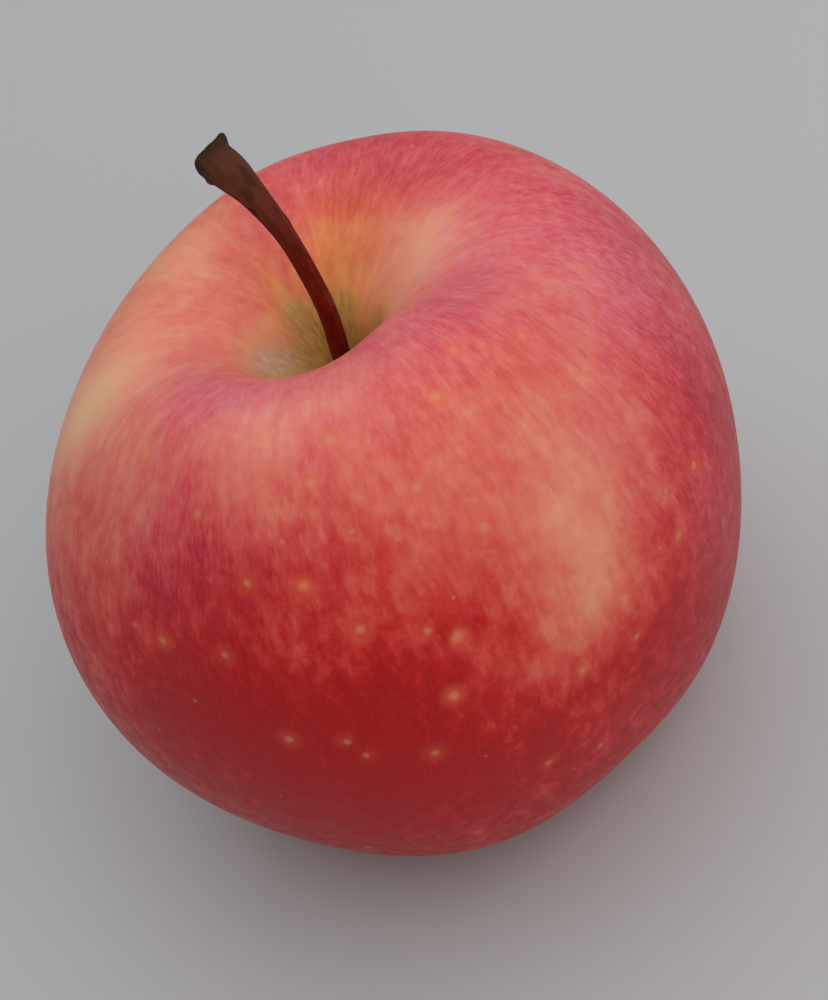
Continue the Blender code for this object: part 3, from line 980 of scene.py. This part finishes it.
def hair_rings(draw, surface):
    """A fine dry hair that leans along a sepal's surface."""
    row = draw.integers(HAIR_FIRST_ROW, len(surface) - HAIR_LAST_ROWS)
    column = draw.integers(0, surface.shape[1])
    root = surface[row, column]
    middle = surface[row].mean(axis=0)
    out = root - middle
    out /= np.linalg.norm(out)
    along = surface[row + 2].mean(axis=0) - middle
    along /= np.linalg.norm(along)
    way = out * draw.uniform(*HAIR_OUTWARD) + along * draw.uniform(*HAIR_ALONG)
    way = way + draw.uniform(-HAIR_STRAY, HAIR_STRAY, 3)
    way /= np.linalg.norm(way)
    side = np.cross(way, along)
    side /= np.linalg.norm(side)
    other = np.cross(way, side)
    length = draw.uniform(*HAIR_LENGTHS)
    angles = np.linspace(0.0, 2.0 * math.pi, HAIR_SIDES, endpoint=False)
    rings = []
    for t in HAIR_RINGS:
        centre = root - out * HAIR_ROOT + way * length * t - along * HAIR_DROOP * t * t
        thick = HAIR_RADIUS * (1.0 - HAIR_TAPER * t)
        rings.append(centre + thick * (np.outer(np.cos(angles), side) + np.outer(np.sin(angles), other)))
    return np.array(rings)


def circle(centre, radius, height, sides):
    """A level ring of points."""
    angles = np.linspace(0.0, 2.0 * math.pi, sides, endpoint=False)
    x = centre[0] + radius * np.cos(angles)
    y = centre[1] + radius * np.sin(angles)
    return np.column_stack([x, y, np.full(sides, height)])


def tubes_mesh(name, tubes):
    """One mesh of several closed tubes."""
    parts = [grid_mesh(name, rings) for rings in tubes]
    whole = bmesh.new()
    for part in parts:
        whole.from_mesh(part)
        bpy.data.meshes.remove(part)
    bmesh.ops.recalc_face_normals(whole, faces=whole.faces)
    mesh = bpy.data.meshes.new(name)
    whole.to_mesh(mesh)
    whole.free()
    mesh.shade_smooth()
    mesh.set_sharp_from_angle(angle=math.radians(50))
    return mesh


def make_sepals():
    """The dried calyx: a low cup in the pocket of the fruit with five hairy sepals round its rim."""
    draw = np.random.default_rng(SEED)
    top = POCKET_ROOF - GAP
    outside = POCKET_RADIUS - GAP
    ceiling = top - CUP_THICKNESS
    profile = ((END_RADIUS, top), (outside, top), (outside, CUP_FOOT), (CUP_HOLE_RADIUS, CUP_FOOT),
               (CUP_HOLE_RADIUS, ceiling), (END_RADIUS, ceiling))
    tubes = [[circle(CALYX_CENTRE, radius, height, CUP_SIDES) for radius, height in profile]]
    for k in range(SEPAL_COUNT):
        turn = math.radians(LOBE_ANGLE) + 2.0 * math.pi * k / SEPAL_COUNT
        blade = sepal_rings(turn, draw.uniform(*SEPAL_PHASES), draw.uniform(*SEPAL_CURLS))
        tubes.append(blade)
        tubes.extend(hair_rings(draw, blade) for _ in range(HAIRS_PER_SEPAL))
    mesh = tubes_mesh("apple_sepals", tubes)
    mesh.materials.append(dry_material("apple_sepals", (0.045, 0.026, 0.013), (0.21, 0.15, 0.085), 2600.0))
    show(mesh, "sepals")


def stamen_rings(k, draw):
    """One withered thread with a shrivelled anther at its end."""
    turn = 2.0 * math.pi * k / (STAMEN_COUNT - 1)
    spread = STAMEN_SPREAD if k else 0.0
    length = STAMEN_LENGTH + STAMEN_LENGTH_SPREAD * math.sin(5.0 * k)
    sway = draw.uniform(-STAMEN_SWAY, STAMEN_SWAY, 2)
    rings = []
    for t in np.linspace(0.0, 1.0, STAMEN_ROWS):
        x, y = beside_calyx(spread * (1.0 + STAMEN_BEND * math.sin(math.pi * t)), turn)
        anther = math.exp(-((t - ANTHER_PLACE) / ANTHER_HALF_LENGTH) ** 2)
        thread = STAMEN_RADIUS * (1.0 - STAMEN_TAPER * t)
        radius = thread + (ANTHER_RADIUS - STAMEN_RADIUS * (1.0 - STAMEN_TAPER)) * anther
        centre = (x + sway[0] * math.sin(3.0 * t), y + sway[1] * math.sin(3.0 * t))
        rings.append(circle(centre, radius, STAMEN_TOP - length * t, STAMEN_SIDES))
    return rings


def make_stamens():
    """The withered stamens: a tuft of threads on one small stub in the middle of the calyx cup."""
    draw = np.random.default_rng(SEED)
    top = POCKET_ROOF - GAP - CUP_THICKNESS - GAP
    stub = ((END_RADIUS, top), (STUB_RADIUS, top), (STUB_RADIUS, CUP_FOOT + STUB_EDGE),
            (STUB_RADIUS - STUB_EDGE, CUP_FOOT), (END_RADIUS, CUP_FOOT))
    tubes = [[circle(CALYX_CENTRE, radius, height, STUB_SIDES) for radius, height in stub]]
    tubes.extend(stamen_rings(k, draw) for k in range(STAMEN_COUNT))
    mesh = tubes_mesh("apple_stamens", tubes)
    mesh.materials.append(dry_material("apple_stamens", (0.018, 0.010, 0.006), (0.10, 0.055, 0.026), 3200.0))
    show(mesh, "stamens")


def make_floor():
    """A plain pale floor."""
    mesh = bpy.data.meshes.new("floor")
    corners = [(x * FLOOR_REACH, y * FLOOR_REACH, 0) for x, y in ((-1, -1), (1, -1), (1, 1), (-1, 1))]
    mesh.from_pydata(corners, [], [(0, 1, 2, 3)])
    n = Nodes("floor")
    n.shader.inputs["Base Color"].default_value = (FLOOR_GREY, FLOOR_GREY, FLOOR_GREY, 1.0)
    n.shader.inputs["Roughness"].default_value = FLOOR_ROUGHNESS
    mesh.materials.append(n.material)
    floor = bpy.data.objects.new("floor", mesh)
    bpy.context.scene.collection.objects.link(floor)


def add_light(name, place, size, power, colour):
    """A square soft light that points at the object."""
    light = bpy.data.lights.new(name, "AREA")
    light.size = size
    light.energy = power
    light.color = colour
    lamp = bpy.data.objects.new(name, light)
    lamp.location = place
    lamp.rotation_euler = (Vector(LIGHT_AIM) - Vector(place)).to_track_quat("-Z", "Y").to_euler()
    bpy.context.scene.collection.objects.link(lamp)


def light_scene():
    """A large soft light from above and a little behind, a weaker one in front, and a weak one all round."""
    add_light("window", (0.12, 0.14, 0.75), 1.3, 4.6, (0.96, 0.98, 1.0))
    add_light("fill", (0.30, -0.50, 0.55), 0.8, 2.2, (1.0, 0.99, 0.98))
    world = bpy.data.worlds.new("room")
    world.use_nodes = True
    background = world.node_tree.nodes["Background"]
    background.inputs["Color"].default_value = ROOM_COLOUR
    background.inputs["Strength"].default_value = ROOM_BRIGHTNESS
    bpy.context.scene.world = world
    bpy.context.scene.view_settings.view_transform = "Standard"


def place_camera():
    """The photo's view: from above and in front, with the picture turned a little."""
    rise = math.radians(CAMERA_ELEVATION)
    roll = math.radians(CAMERA_ROLL)
    back = Vector((0.0, -math.cos(rise), math.sin(rise)))
    level = Vector((1.0, 0.0, 0.0))
    upright = back.cross(level)
    right = level * math.cos(roll) + upright * math.sin(roll)
    up = upright * math.cos(roll) - level * math.sin(roll)
    camera = bpy.data.cameras.new("camera")
    camera.lens = CAMERA_LENS
    camera.clip_start = NEAREST_VISIBLE
    view = bpy.data.objects.new("camera", camera)
    turned = Matrix((right, up, back)).transposed().to_4x4()
    turned.translation = Vector(CAMERA_EYE) * MM
    view.matrix_world = turned
    bpy.context.scene.collection.objects.link(view)
    bpy.context.scene.camera = view


make_fruit()
make_stem()
make_sepals()
make_stamens()
make_floor()
light_scene()
place_camera()
